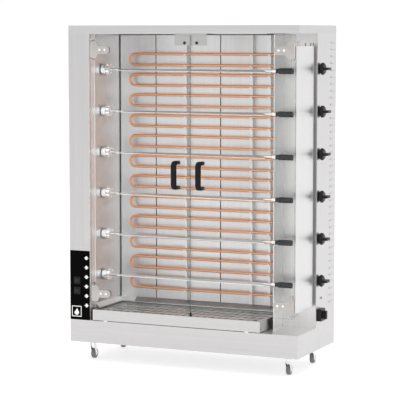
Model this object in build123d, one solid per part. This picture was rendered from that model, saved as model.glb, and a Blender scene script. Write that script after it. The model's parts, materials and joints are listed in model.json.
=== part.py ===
from build123d import *
import math
import os

# Free-standing rotisserie oven, millimetres.
# The pieces are placed in cabinet coordinates: X from the left side to the right,
# Y from the front face to the back, Z up from the floor. save() then moves every
# node so that the origin lies on the floor under the middle of the whole object.

# ---------------------------------------------------------------- driving dimensions
body_w = 1215.0            # cabinet width
body_d = 505.0             # cabinet depth
body_h = 1667.0            # height of the top face above the floor
sheet = 1.5                # stainless sheet of the casing and the liners
caster_h = 97.0            # floor to the underside of the plinth
plinth_h = 111.0
header_h = 39.0

column_w = 113.0           # left column, which holds the drive
column_return = 66.0       # depth of the column's inner return
right_bay_w = 175.0        # bay right of the cavity, for handles and wiring
rear_space = 172.0         # wiring space behind the cavity
rear_flange = 26.0         # folded flanges that the rear panel is screwed to

liner_front = 58.0         # front edge of the left liner
ceiling_drop = 3.0         # header to cavity ceiling
ceiling_front = 30.0       # front edge of the ceiling, folded up to the header
liner_seam_pitch = 355.0   # back liner panels
liner_seam_gap = 5.0
liner_top_gap = 5.0        # back liner to the ceiling
liner_seam_end = 12.0      # last seam to the right wall
liner_lip = 10.0           # panel edges folded back at each seam

wall_t = 2.0               # right cavity wall
notch_depth = 17.0         # its front edge to the spit axes
cover_front = 245.0        # front face of the right service cover

spit_count = 6
spit_y = 142.0             # spit axes behind the front face
top_spit_drop = 178.0      # header to the top spit
bottom_spit_rise = 217.0   # plinth top to the bottom spit
running = 0.05             # radial clearance of a turning or sliding fit
loose = 0.3                # radial clearance of an open bearing or a bolt

spindle_r = 8.0
spindle_start = 46.0       # left end of the spindle shafts
socket_start = 4.0         # liner to the socket's back face
socket_r = 29.0
socket_len = 23.0
crown_r = 25.0             # castellated end of the socket
crown_len = 18.0
crown_slot = 9.0
crown_slots = 6
sprocket_x = 60.0
sprocket_r = 28.0
sprocket_root = 24.5
sprocket_t = 6.0
sprocket_teeth = 18
chain_gap = 0.4
chain_t = 6.0
chain_w = 5.0
bearing_w = 52.0
bearing_t = 13.0

spit_r = 6.0
spit_blade_start = 195.0   # left end of the V-section blade
blade_half_tip = 6.0
blade_half_root = 12.0
blade_t = 2.5
blade_end_gap = 48.0       # blade's right end to the right wall
cross_pin_r = 2.5
collar_r = 12.0
collar_len = 18.0
collar_inside = 12.0       # part of the collar left of the right wall
handle_neck_r = 10.0
handle_neck_len = 14.0
handle_r = 14.0
handle_len = 69.0

element_r = 5.75
element_half = 27.5        # half the leg spacing of a hairpin
element_rise = 49.0        # top hairpin above the top spit
element_standoff = 33.0    # element plane in front of the back liner
element_tip_gap = 75.0     # left liner to the hairpin's bend
element_tail = 22.0        # cold end right of the right wall
element_hole_gap = 1.0
bushing_r = 8.0
bushing_len = 8.0
rail_w = 10.0
rail_foot_gap = 3.0        # rear deflector to the rails' lower ends
hook_t = 1.5
hook_gap = 0.2
side_rail_offset = 82.0    # third rail left of the last seam

deflector_rise = 80.0      # plinth top to the deflectors' upper edge on the wall
deflector_run = 21.0
deflector_fall = 20.0

door_t = 6.0               # glass
door_bottom_rise = 78.0    # plinth top to the glass
door_top_gap = 6.0
door_gap = 3.0             # seam between the two doors
door_corner_r = 5.0
pivot_inset = 12.0         # hinge axis from the fixed face beside it
pivot_y = 3.0              # hinge axis behind the front face
glass_past_pivot = 6.5
pin_r = 4.0
knuckle_r = 7.0
knuckle_half = 38.0
patch_t = 3.0
lobe_w = 42.0
lobe_half = 42.0
lobe_past_pivot = 4.0      # hinge axis to the lobe's outer edge
tab_reach = 102.0          # hinge axis to the end of the tab
tab_half = 19.5
patch_screws = (49.0, 77.0)
patch_screw_r = 3.0
patch_head_r = 5.5
patch_head_t = 2.5
ear_t = 3.0
ear_r = 8.0
ear_gap = 3.0              # lobe to the bracket's ear
leaf_t = 2.0
leaf_back = 48.0
top_hinge_drop = 73.0      # door top to the upper hinge
bottom_hinge_rise = 60.5   # door bottom to the lower hinge
notch_w = 22.0             # glass cut away round the hinge

grip_from_seam = 64.0
grip_centre_frac = 0.497   # grip height as a share of the glass height
grip_span = 120.0
grip_reach = 48.5
grip_w = 27.0
grip_t = 18.0
grip_bend_r = 18.0
grip_stud_r = 3.0
grip_washer_r = 8.0
grip_washer_t = 2.5

catch_w = 170.0
catch_h = 57.0
catch_gap = 2.0            # glass to the catch plate
magnet_r = 7.0
magnet_spread = 32.0
magnet_drop = 45.0
magnet_len = 8.0
magnet_gap = 0.4

guard_t = 2.0
guard_inset = 11.0         # guard's outer face inside the cabinet's side
guard_flange = 14.0
guard_recess = 22.0        # stepped-in strip between the guard and the cover
guard_rise = 107.0         # plinth top to the guard
guard_over_hinge = 20.0
guard_tab_shares = (0.457, 0.747, 0.89)
guard_tab_w = 8.0
guard_tab_h = 14.0

tray_side_gap = 13.0       # column to the tray
tray_right_gap = 18.0
tray_rise = 3.0            # plinth top to the tray's underside
tray_h = 53.0
tray_back_gap = 8.0
tray_lip = 12.0
runner_w = 20.0
runner_gap = 0.2
runner_inset = 60.0
grille_t = 3.0
grille_drop = 7.0          # tray rim to the grille's top
grille_gap = 1.5
ledge_w = 9.0
slot_pitch_x = 38.0
slot_pitch_y = 68.0
slot_w = 22.0
slot_len = 46.0
slot_slant = 26.0

panel_t = 1.5              # black switch panel
panel_h = 347.0
panel_margin = 2.0
rocker_x = 41.0
rocker_rises = (197.0, 146.0)
bezel_w = 35.0
bezel_h = 36.0
bezel_t = 2.0
rocker_w = 24.0
rocker_r = 14.0
rocker_flat = 11.5         # pivot to the rocker's two faces
rocker_ridge = 8.0         # half the angle between the faces, degrees
rocker_pivot_y = 6.0
rocker_pin_r = 2.0
rocker_box_d = 24.0
rocker_gap = 0.3

knob_from_edge = 41.0      # knob axes behind the service cover's front
knob_rise = 10.0           # knob axes above the spit axes
knob_r = 29.0
knob_skirt = 22.0
knob_taper = 7.0           # slope on both rims of the skirt
knob_lobes = 8
knob_scallop_r = 9.0
knob_bar_w = 52.0
knob_bar_t = 12.0
knob_bar_len = 25.0
knob_gap = 0.8
knob_stem_r = 3.0
stem_len = 24.0
thermostat_w = 42.0
thermostat_d = 34.0

switch_from_edge = 46.0
switch_rise = 61.0         # plinth top to the rotary switch axis
switch_w = 60.0
switch_t = 20.0
switch_body_d = 58.0
switch_body_w = 48.0
switch_neck_r = 10.0
lever_r = 20.0
lever_t = 19.0
lever_bar_t = 14.0
lever_stem_r = 5.0
lever_stem_len = 12.0
lever_gap = 0.5

lamp_from_edge = 70.0
lamp_rise = 139.0
lamp_r = 6.0
lamp_dome = 4.0
lamp_body_r = 4.9
lamp_body_len = 20.0

louvre_from_back = 48.0
louvre_len = 55.0
louvre_pitch = 33.5
louvre_margin = 41.0       # header to the top louvre
louvre_floor = 104.0       # plinth top to the lowest louvre
louvre_h = 10.0
louvre_reach = 4.0
louvre_wall = 1.0

rear_screw_rows = 6
rear_screw_margin = 60.0
screw_r = 2.4
screw_head_r = 4.5
screw_head_t = 2.5
screw_len = 8.0
screw_clear = 0.1

gland_from_right = 85.0
gland_rise = 54.0
gland_r = 12.0
gland_reach = 14.0
gland_thread_r = 9.9
gland_thread_len = 15.0
gland_bore_r = 6.0

gearbox_t = 40.0
gearbox_w = 90.0
gearbox_h = 110.0
gearbox_shaft = 26.0       # depth of the bottom spindle in the gearbox
motor_r = 32.0
motor_len = 120.0

caster_x = 82.0            # swivel axes from the nearer side
caster_y = 80.0            # swivel axes from the front and, less the trail, the back
caster_trail = 22.0
caster_plate_w = 62.0
caster_plate_d = 72.0
caster_plate_t = 3.0
caster_stud_r = 3.0
caster_stud_len = 9.0
caster_stud_spread = 23.0
kingpin_r = 4.0
kingpin_len = 14.0
fork_crown_r = 20.0
fork_crown_t = 7.0
fork_play = 0.3
fork_leg_t = 2.5
fork_half = 10.0           # half the gap between the fork's legs
wheel_r = 25.0
wheel_half = 9.0
wheel_tyre_round = 4.0
axle_r = 3.5
cable_hole_r = 20.0
vent_slot_w = 80.0
vent_slot_h = 6.0
vent_pitch = 16.0
vent_rows = 8

# ---------------------------------------------------------------- derived places
plinth_top = caster_h + plinth_h
header_bottom = body_h - header_h
ceiling_z = header_bottom - ceiling_drop
cavity_back = body_d - rear_space
wall_front = spit_y - notch_depth
wall_x = body_w - right_bay_w
liner_x = column_w + sheet
top_spit_z = header_bottom - top_spit_drop
bottom_spit_z = plinth_top + bottom_spit_rise
spit_pitch = (top_spit_z - bottom_spit_z) / (spit_count - 1)
spit_zs = [top_spit_z - spit_pitch * n for n in range(spit_count)]
element_pitch = spit_pitch / 2
element_y = cavity_back - element_standoff
element_zs = [top_spit_z + element_rise - element_pitch * n for n in range(2 * spit_count)]
leg_zs = [z + side * element_half for z in element_zs for side in (1, -1)]

guard_x = body_w - guard_inset
guard_inner = guard_x - guard_t
pivot_left = column_w + pivot_inset
pivot_right = guard_inner - pivot_inset
seam_x = (pivot_left + pivot_right) / 2
door_bottom = plinth_top + door_bottom_rise
door_top = header_bottom - door_top_gap
hinge_zs = (door_top - top_hinge_drop, door_bottom + bottom_hinge_rise)
grip_z = door_bottom + (door_top - door_bottom) * grip_centre_frac

tray_left = column_w + tray_side_gap
tray_right = wall_x - tray_right_gap
tray_back = cavity_back - tray_back_gap
tray_bottom = plinth_top + tray_rise
tray_top = tray_bottom + tray_h
grille_top = tray_top - grille_drop
grille_bottom = grille_top - grille_t

socket_back = liner_x + socket_start
socket_front = socket_back + socket_len + crown_len
knob_y = cover_front + knob_from_edge
knob_zs = [z + knob_rise for z in spit_zs]
switch_y = cover_front + switch_from_edge
switch_z = plinth_top + switch_rise
lamp_y = cover_front + lamp_from_edge
lamp_z = plinth_top + lamp_rise
rocker_zs = [plinth_top + rise for rise in rocker_rises]
gland_x = body_w - gland_from_right
gland_z = plinth_top + gland_rise
knob_reach = knob_gap + knob_skirt + knob_bar_len
grip_front = grip_reach + grip_t / 2
swivels = [(x, y) for y in (caster_y, body_d - caster_y - caster_trail)
           for x in (caster_x, body_w - caster_x)]

origin_x = (body_w + knob_reach) / 2
origin_y = (body_d + gland_reach - grip_front) / 2
to_origin = Pos(-origin_x, -origin_y, 0)

os.makedirs("parts", exist_ok=True)


# ---------------------------------------------------------------- shape helpers
def save(name, *shapes):
    """Write one node, moved into the object's own frame."""
    solids = [solid for shape in shapes for solid in (to_origin * shape).solids()]
    export_step(Compound(solids), f"parts/{name}.step")


def block(x0, x1, y0, y1, z0, z1):
    """Box between two opposite corners."""
    middle = Pos((x0 + x1) / 2, (y0 + y1) / 2, (z0 + z1) / 2)
    return middle * Box(x1 - x0, y1 - y0, z1 - z0)


def rod_x(x0, x1, y, z, r):
    return Pos((x0 + x1) / 2, y, z) * Rot(0, 90, 0) * Cylinder(r, x1 - x0)


def rod_y(y0, y1, x, z, r):
    return Pos(x, (y0 + y1) / 2, z) * Rot(90, 0, 0) * Cylinder(r, y1 - y0)


def rod_z(z0, z1, x, y, r):
    return Pos(x, y, (z0 + z1) / 2) * Cylinder(r, z1 - z0)


def prism_x(points, x0, x1):
    """Polygon of (y, z) points, extruded from x0 to x1."""
    plane = Plane(origin=(x0, 0, 0), x_dir=(0, 1, 0), z_dir=(1, 0, 0))
    return extrude(plane * Polygon(*points, align=None), x1 - x0, dir=(1, 0, 0))


def prism_y(points, y0, y1):
    """Polygon of (x, z) points, extruded from y0 to y1."""
    plane = Plane(origin=(0, y1, 0), x_dir=(1, 0, 0), z_dir=(0, -1, 0))
    return extrude(plane * Polygon(*points, align=None), y1 - y0, dir=(0, -1, 0))


def prism_z(points, z0, z1):
    """Polygon of (x, y) points, extruded from z0 to z1."""
    return extrude(Plane.XY.offset(z0) * Polygon(*points, align=None), z1 - z0, dir=(0, 0, 1))


def mirrored(shape):
    """The same piece for the right door."""
    return mirror(shape, about=Plane(origin=(seam_x, 0, 0), x_dir=(0, 1, 0), z_dir=(1, 0, 0)))


# ---------------------------------------------------------------- casing
def base_plinth():
    """Closed folded box with the tray's two runners on top, bolt holes and a cable hole."""
    box = block(0, body_w, 0, body_d, caster_h, plinth_top)
    box -= block(sheet, body_w - sheet, sheet, body_d - sheet, caster_h + sheet, plinth_top - sheet)
    runner_top = tray_bottom - runner_gap
    for x in (tray_left + runner_inset, tray_right - runner_inset - runner_w):
        box += block(x, x + runner_w, sheet, tray_back, plinth_top, runner_top)
    holes = [rod_z(caster_h - 1, caster_h + sheet + 1, x + dx, y + dy, caster_stud_r + loose)
             for x, y in swivels
             for dx in (-caster_stud_spread, caster_stud_spread)
             for dy in (-caster_stud_spread, caster_stud_spread)]
    holes.append(rod_z(plinth_top - sheet - 1, plinth_top + 1, wall_x + right_bay_w / 2,
                       body_d - rear_space / 2, cable_hole_r))
    return box - holes


def rear_screw_places():
    low = plinth_top + rear_screw_margin
    step = (header_bottom - rear_screw_margin - low) / (rear_screw_rows - 1)
    sides = (rear_flange / 2, body_w - rear_flange / 2)
    return [(x, low + step * row) for x in sides for row in range(rear_screw_rows)]


def rear_screw_holes():
    return [rod_y(body_d - 3 * sheet, body_d + 1, x, z, screw_r + screw_clear)
            for x, z in rear_screw_places()]


def left_column():
    """Folded sheet: side, front, inner return and rear flange."""
    low, high = plinth_top, header_bottom
    shell = block(0, sheet, 0, body_d, low, high)
    shell += block(0, column_w, 0, sheet, low, high)
    shell += block(column_w - sheet, column_w, 0, column_return, low, high)
    shell += block(0, rear_flange, body_d - 2 * sheet, body_d - sheet, low, high)
    return shell - rear_screw_holes() - rocker_windows()


def rocker_windows():
    half_w = (bezel_w - 2 * bezel_t) / 2
    half_h = (bezel_h - 2 * bezel_t) / 2
    return [block(rocker_x - half_w, rocker_x + half_w, -panel_t - 1, sheet + 1, z - half_h, z + half_h)
            for z in rocker_zs]


def control_panel():
    plate = block(panel_margin, column_w - panel_margin, -panel_t, 0,
                  plinth_top, plinth_top + panel_h)
    return plate - rocker_windows()


def header():
    """Closed box across the top, with two wiring holes in its underside."""
    box = block(0, body_w, 0, body_d, header_bottom, body_h)
    box -= block(sheet, body_w - sheet, sheet, body_d - sheet, header_bottom + sheet, body_h - sheet)
    holes = [rod_z(header_bottom - 1, header_bottom + sheet + 1, x, body_d - rear_space / 2, cable_hole_r)
             for x in (column_w / 2, wall_x + right_bay_w / 2)]
    return box - holes


def rear_panel():
    """Flat sheet with two banks of vent slots."""
    plate = block(sheet, body_w - sheet, body_d - sheet, body_d, plinth_top, header_bottom)
    middle = body_w / 2
    slots = []
    for row in range(vent_rows):
        for z in (header_bottom - rear_screw_margin - vent_pitch * row,
                  plinth_top + rear_screw_margin + vent_pitch * row):
            for x in (middle - 3 * vent_slot_w, middle, middle + 3 * vent_slot_w):
                slots.append(block(x - vent_slot_w / 2, x + vent_slot_w / 2, body_d - sheet - 1,
                                   body_d + 1, z - vent_slot_h / 2, z + vent_slot_h / 2))
    gland_hole = rod_y(body_d - sheet - 1, body_d + 1, gland_x, gland_z, gland_thread_r + screw_clear)
    return plate - (slots + rear_screw_holes() + [gland_hole])


def cabinet_screws():
    return [rod_y(body_d - screw_len, body_d, x, z, screw_r)
            + rod_y(body_d, body_d + screw_head_t, x, z, screw_head_r)
            for x, z in rear_screw_places()]


def liner_seams():
    """Places of the open seams in the back liner, from the right."""
    seams = []
    x = wall_x - liner_seam_end
    while x > liner_x + liner_seam_pitch / 4:
        seams.append(x)
        x -= liner_seam_pitch
    return seams


def back_liner():
    """Flat panels with their edges folded back at each seam, open at the left and the top."""
    edges = [liner_x + liner_seam_gap]
    high = ceiling_z - liner_top_gap
    for x in reversed(liner_seams()):
        edges += [x - liner_seam_gap / 2, x + liner_seam_gap / 2]
    edges.append(wall_x)
    panels = []
    for x0, x1 in zip(edges[::2], edges[1::2]):
        panel = block(x0, x1, cavity_back, cavity_back + sheet, plinth_top, high)
        panel += block(x0, x0 + sheet, cavity_back, cavity_back + liner_lip, plinth_top, high)
        panel += block(x1 - sheet, x1, cavity_back, cavity_back + liner_lip, plinth_top, high)
        panels.append(panel)
    return panels


def cavity_liner():
    """Left wall with the spindle holes, and the ceiling with its front edge folded up."""
    wall = block(column_w, liner_x, liner_front, cavity_back, plinth_top, ceiling_z)
    wall -= [rod_x(column_w - 1, liner_x + 1, spit_y, z, spindle_r + 1) for z in spit_zs]
    ceiling = block(column_w, wall_x + wall_t, ceiling_front, cavity_back + liner_lip,
                    ceiling_z, ceiling_z + sheet)
    ceiling += block(column_w, wall_x + wall_t, ceiling_front, ceiling_front + sheet,
                     ceiling_z, header_bottom)
    return [wall, ceiling]


def right_wall():
    """Sheet with a round-ended notch for each spit collar and a hole for each element leg."""
    wall = block(wall_x, wall_x + wall_t, wall_front, cavity_back, plinth_top, ceiling_z)
    notch_r = collar_r + loose
    tools = []
    for z in spit_zs:
        tools.append(block(wall_x - 1, wall_x + wall_t + 1, wall_front - 1, spit_y, z - notch_r, z + notch_r))
        tools.append(rod_x(wall_x - 1, wall_x + wall_t + 1, spit_y, z, notch_r))
    for z in leg_zs:
        tools.append(rod_x(wall_x - 1, wall_x + wall_t + 1, element_y, z, element_r + element_hole_gap))
    return wall - tools


def louvre_zs():
    span = header_bottom - louvre_margin - (plinth_top + louvre_floor)
    count = int(span // louvre_pitch) + 1
    return [header_bottom - louvre_margin - louvre_pitch * n for n in range(count)]


def side_cover():
    """Folded service cover: front return, side with pressed louvres, rear flange."""
    low, high = plinth_top, header_bottom
    cover = block(wall_x + wall_t, body_w, cover_front, cover_front + sheet, low, high)
    cover += block(body_w - sheet, body_w, cover_front, body_d, low, high)
    cover += block(body_w - rear_flange, body_w, body_d - 2 * sheet, body_d - sheet, low, high)
    middle = body_d - louvre_from_back
    y0, y1 = middle - louvre_len / 2, middle + louvre_len / 2
    hoods = []
    pockets = []
    half = louvre_h / 2
    for z in louvre_zs():
        tip = body_w + louvre_reach
        outline = [(body_w - sheet, z + half), (body_w, z + half), (tip, z - half),
                   (body_w - sheet, z - half)]
        hoods.append(prism_y(outline, y0, y1))
        inner = [(body_w - sheet - 1, z + half - louvre_wall), (body_w, z + half - 2 * louvre_wall),
                 (tip - 1.5 * louvre_wall, z - half - 1), (body_w - sheet - 1, z - half - 1)]
        pockets.append(prism_y(inner, y0 + louvre_wall, y1 - louvre_wall))
    cover += hoods
    holes = [rod_x(body_w - sheet - 1, body_w + 1, knob_y, z, knob_stem_r + 1) for z in knob_zs]
    holes.append(rod_x(body_w - sheet - 1, body_w + 1, switch_y, switch_z, switch_neck_r + loose))
    holes.append(rod_x(body_w - sheet - 1, body_w + 1, lamp_y, lamp_z, lamp_body_r + screw_clear))
    return cover - pockets - holes - rear_screw_holes()


def side_guard():
    """Plate beside the spit handles, stepped in along its rear edge, with three hooks on top."""
    low = plinth_top + guard_rise
    high = hinge_zs[0] + guard_over_hinge
    step = cover_front - guard_recess
    inner = guard_x - guard_flange
    guard = block(guard_inner, guard_x, 0, step, low, high)
    guard += block(inner, guard_x, step - guard_t, step, low, high)
    guard += block(inner, inner + guard_t, step - guard_t, cover_front, low, high)
    for share in guard_tab_shares:
        y = cover_front * share
        guard += block(guard_inner, guard_x, y - guard_tab_w / 2, y + guard_tab_w / 2,
                       high, high + guard_tab_h)
    return guard


# ---------------------------------------------------------------- heating
def heating_element(z):
    """Hairpin tube with a bushing behind the right wall on each leg."""
    end_x = wall_x + wall_t + element_tail
    bend_x = liner_x + element_tip_gap + element_half
    upper, lower = z + element_half, z - element_half
    path = Wire([
        Line((end_x, element_y, upper), (bend_x, element_y, upper)),
        ThreePointArc((bend_x, element_y, upper), (bend_x - element_half, element_y, z),
                      (bend_x, element_y, lower)),
        Line((bend_x, element_y, lower), (end_x, element_y, lower)),
    ])
    section = Plane(origin=(end_x, element_y, upper), z_dir=(-1, 0, 0)) * Circle(element_r)
    tube = sweep(section, path=path)
    face = wall_x + wall_t
    for leg in (upper, lower):
        tube += rod_x(face, face + bushing_len, element_y, leg, bushing_r)
    return tube


def rail_xs():
    seams = liner_seams()
    middles = [x - liner_seam_pitch / 2 for x in seams[:-1]]
    return middles + [seams[0] - side_rail_offset]


def element_rail(x):
    """Folded channel on the back liner with a hook under every element leg."""
    front = element_y + element_r + hook_gap
    low, high = plinth_top + deflector_rise + rail_foot_gap, ceiling_z - liner_top_gap
    x0, x1 = x - rail_w / 2, x + rail_w / 2
    rail = block(x0, x1, front, cavity_back, low, high)
    rail -= block(x0 + hook_t, x1 - hook_t, front + hook_t, cavity_back + 1, low - 1, high + 1)
    tip = element_y - element_r - hook_gap
    hooks = []
    for z in leg_zs:
        under = z - element_r - hook_gap
        hooks.append(block(x0, x1, tip - hook_t, front, under - hook_t, under))
        hooks.append(block(x0, x1, tip - hook_t, tip, under - hook_t, z))
    return rail + hooks


def drip_deflectors():
    """Sloped strips that lead fat from the left and rear walls into the tray."""
    high = plinth_top + deflector_rise
    low = high - deflector_fall
    left = prism_y([(liner_x, high), (liner_x + deflector_run, low),
                    (liner_x + deflector_run, low - sheet), (liner_x, high - sheet)],
                   liner_front, cavity_back)
    start = liner_x + deflector_run
    rear = prism_x([(cavity_back, high), (cavity_back, high - sheet),
                    (cavity_back - deflector_run, low - sheet), (cavity_back - deflector_run, low)],
                   start, wall_x)
    return [left, rear]


# ---------------------------------------------------------------- spit drive
def toothed_disc(x0, x1, y, z):
    """Sprocket with straight-sided teeth."""
    step = 2 * math.pi / sprocket_teeth
    points = []
    for tooth in range(sprocket_teeth):
        for share, radius in ((-0.34, sprocket_root), (-0.14, sprocket_r),
                              (0.14, sprocket_r), (0.34, sprocket_root)):
            angle = (tooth + share) * step
            points.append((y + radius * math.cos(angle), z + radius * math.sin(angle)))
    return prism_x(points, x0, x1)


def drive_spindle(z, start):
    """Shaft with its sprocket, and the castellated socket that drives a spit."""
    crown_back = socket_back + socket_len
    spindle = rod_x(start, socket_back, spit_y, z, spindle_r)
    spindle += toothed_disc(sprocket_x, sprocket_x + sprocket_t, spit_y, z)
    spindle += rod_x(socket_back, crown_back, spit_y, z, socket_r)
    spindle += rod_x(crown_back, socket_front, spit_y, z, crown_r)
    tools = [rod_x(socket_back + socket_start, socket_front + 1, spit_y, z, spit_r + running)]
    for n in range(crown_slots // 2):
        slot = Box(crown_len + 2, 2 * crown_r + 2, crown_slot)
        place = Pos(crown_back + crown_len / 2 + 1, spit_y, z) * Rot(360 / crown_slots * n, 0, 0)
        tools.append(place * slot)
    return spindle - tools


def spindle_bearings():
    """Flange bearings on the column side of the left liner."""
    half = bearing_w / 2
    return [block(column_w - bearing_t, column_w, spit_y - half, spit_y + half, z - half, z + half)
            - rod_x(column_w - bearing_t - 1, column_w + 1, spit_y, z, spindle_r + running)
            for z in spit_zs]


def drive_chain():
    """Closed loop round the top and bottom sprockets; the others mesh with both runs."""
    x0 = sprocket_x + (sprocket_t - chain_w) / 2
    inner = sprocket_r + chain_gap

    def loop(radius, x0, x1):
        body = block(x0, x1, spit_y - radius, spit_y + radius, spit_zs[-1], spit_zs[0])
        body += rod_x(x0, x1, spit_y, spit_zs[0], radius)
        body += rod_x(x0, x1, spit_y, spit_zs[-1], radius)
        return body

    return loop(inner + chain_t, x0, x0 + chain_w) - loop(inner, x0 - 1, x0 + chain_w + 1)


def drive_motor():
    """Gear motor on the column's side sheet, round the end of the bottom spindle."""
    z = spit_zs[-1]
    box = block(sheet, sheet + gearbox_t, spit_y - gearbox_w / 2, spit_y + gearbox_w / 2,
                z - gearbox_h / 2, z + gearbox_h / 2)
    box = fillet(box.edges().filter_by(Axis.X), 8)
    can_start = spit_y + gearbox_w / 2
    can = rod_y(can_start, can_start + motor_len, sheet + motor_r + 2, z, motor_r)
    bore = rod_x(sheet + gearbox_t - gearbox_shaft, sheet + gearbox_t + 1, spit_y, z, spindle_r + running)
    return box + can - bore


def spit(z):
    """Round neck and cross pin, V-section blade that widens to the right, bearing collar."""
    tip = socket_back + socket_start + 2
    blade_end = wall_x - blade_end_gap
    collar_start = wall_x - collar_inside
    collar_end = collar_start + collar_len
    bar = rod_x(tip, spit_blade_start + 10, spit_y, z, spit_r)
    pin_x = socket_front - crown_len / 2
    bar += rod_y(spit_y - crown_r + 3, spit_y + crown_r - 3, pin_x, z, cross_pin_r)

    def vee(x, half):
        points = [(-half, -half / 2), (0, half / 2), (half, -half / 2),
                  (half, -half / 2 - blade_t), (0, half / 2 - blade_t), (-half, -half / 2 - blade_t)]
        plane = Plane(origin=(x, spit_y, z), x_dir=(0, 1, 0), z_dir=(1, 0, 0))
        return plane * Polygon(*points, align=None)

    bar += loft([vee(spit_blade_start, blade_half_tip), vee(blade_end, blade_half_root)], ruled=True)
    bar += rod_x(blade_end - 10, collar_end + handle_neck_len + 2, spit_y, z, spit_r)
    bar += rod_x(collar_start, collar_end, spit_y, z, collar_r)
    grip_start = collar_end + handle_neck_len
    grip = rod_x(collar_end, grip_start, spit_y, z, handle_neck_r)
    grip += rod_x(grip_start, grip_start + handle_len, spit_y, z, handle_r)
    grip -= rod_x(collar_end - 1, grip_start + 2, spit_y, z, spit_r)
    return [bar, grip]


# ---------------------------------------------------------------- doors
def door_glass():
    """Left pane with rounded corners, hinge notches and screw holes."""
    left, right = pivot_left - glass_past_pivot, seam_x - door_gap / 2
    pane = block(left, right, 0, door_t, door_bottom, door_top)
    pane = fillet(pane.edges().filter_by(Axis.Y), door_corner_r)
    tools = []
    for z in hinge_zs:
        half = lobe_half + ear_gap + ear_t + ear_gap
        tools.append(block(left - 1, left + notch_w, -1, door_t + 1, z - half, z + half))
        for reach in patch_screws:
            tools.append(rod_y(-1, door_t + 1, pivot_left + reach, z, patch_screw_r + 1))
    for z in (grip_z - grip_span / 2, grip_z + grip_span / 2):
        tools.append(rod_y(-1, door_t + 1, seam_x - grip_from_seam, z, grip_stud_r + loose))
    return pane - tools


def hinge_patches():
    """Door half of both hinges: front patch with its knuckle, backing plate and two screws."""
    pieces = []
    lobe_left = pivot_left - lobe_past_pivot
    lobe_right = lobe_left + lobe_w
    for z in hinge_zs:
        lobe = block(lobe_left, lobe_right, -patch_t, 0, z - lobe_half, z + lobe_half)
        lobe = fillet(lobe.edges().filter_by(Axis.Y), lobe_w / 2 - 1)
        tab_end = pivot_left + tab_reach
        tab = block(pivot_left + knuckle_r, tab_end - tab_half, -patch_t, 0, z - tab_half, z + tab_half)
        front = lobe + tab + rod_y(-patch_t, 0, tab_end - tab_half, z, tab_half)
        front += rod_z(z - knuckle_half, z + knuckle_half, pivot_left, pivot_y, knuckle_r)
        front -= rod_z(z - lobe_half - 1, z + lobe_half + 1, pivot_left, pivot_y, pin_r + running)
        back = block(pivot_left + notch_w, tab_end - tab_half, door_t, door_t + patch_t,
                     z - tab_half, z + tab_half)
        back += rod_y(door_t, door_t + patch_t, tab_end - tab_half, z, tab_half)
        screws = []
        for reach in patch_screws:
            x = pivot_left + reach
            clear = rod_y(-patch_t - 1, door_t + patch_t + 1, x, z, patch_screw_r + screw_clear)
            front -= clear
            back -= clear
            shank = rod_y(-patch_t, door_t + patch_t, x, z, patch_screw_r)
            screws.append(shank + rod_y(-patch_t - patch_head_t, -patch_t, x, z, patch_head_r))
        pieces += [front, back] + screws
    return pieces


def hinge_bracket(z):
    """Fixed half of a left hinge: leaf, two ears and the pin between them."""
    top = lobe_half + ear_gap
    leaf = block(column_w, column_w + leaf_t, pivot_y, leaf_back, z - top - ear_t, z + top + ear_t)
    leaf -= block(column_w - 1, column_w + leaf_t + 1, pivot_y - 1, pivot_y + ear_r + 2,
                  z - top, z + top)
    for ear_z in (z - top - ear_t, z + top):
        leaf += block(column_w, pivot_left, pivot_y - ear_r, pivot_y + ear_r, ear_z, ear_z + ear_t)
        leaf += rod_z(ear_z, ear_z + ear_t, pivot_left, pivot_y, ear_r)
    leaf += rod_z(z - top - ear_t, z + top + ear_t, pivot_left, pivot_y, pin_r)
    return leaf


def door_grip():
    """D handle of the left door, with studs and washers through the glass."""
    x = seam_x - grip_from_seam
    top, bottom = grip_z + grip_span / 2, grip_z - grip_span / 2
    path = FilletPolyline((x, 0, top), (x, -grip_reach, top), (x, -grip_reach, bottom), (x, 0, bottom),
                          radius=grip_bend_r)
    section = Plane(origin=(x, 0, top), x_dir=(1, 0, 0), z_dir=(0, -1, 0))
    section = section * RectangleRounded(grip_w, grip_t, grip_t / 3)
    grip = sweep(section, path=path)
    for z in (top, bottom):
        grip += rod_y(-1, door_t + grip_washer_t, x, z, grip_stud_r)
        grip += rod_y(door_t, door_t + grip_washer_t, x, z, grip_washer_r)
    return grip


def door_catch():
    """Plate under the header behind the doors' meeting edge, with two magnets."""
    front = door_t + catch_gap
    plate = block(seam_x - catch_w / 2, seam_x + catch_w / 2, front, front + sheet,
                  header_bottom - catch_h, header_bottom)
    plate += block(seam_x - catch_w / 2, seam_x + catch_w / 2, front, ceiling_front - 1,
                   header_bottom - sheet, header_bottom)
    z = header_bottom - magnet_drop
    magnets = [rod_y(door_t + magnet_gap, door_t + magnet_gap + magnet_len, seam_x + side, z, magnet_r)
               for side in (-magnet_spread, magnet_spread)]
    return [plate - magnets] + magnets


# ---------------------------------------------------------------- tray
def drip_tray():
    """Open pan with a folded front lip and ledges for the grille."""
    pan = block(tray_left, tray_right, 0, tray_back, tray_bottom, tray_top)
    pan -= block(tray_left + sheet, tray_right - sheet, sheet, tray_back - sheet,
                 tray_bottom + sheet, tray_top + 1)
    pan += block(tray_left, tray_right, 0, tray_lip, tray_top - sheet, tray_top)
    for x0, x1 in ((tray_left, tray_left + ledge_w), (tray_right - ledge_w, tray_right)):
        pan += block(x0, x1, sheet, tray_back - sheet, grille_bottom - sheet, grille_bottom)
    return pan


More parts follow.
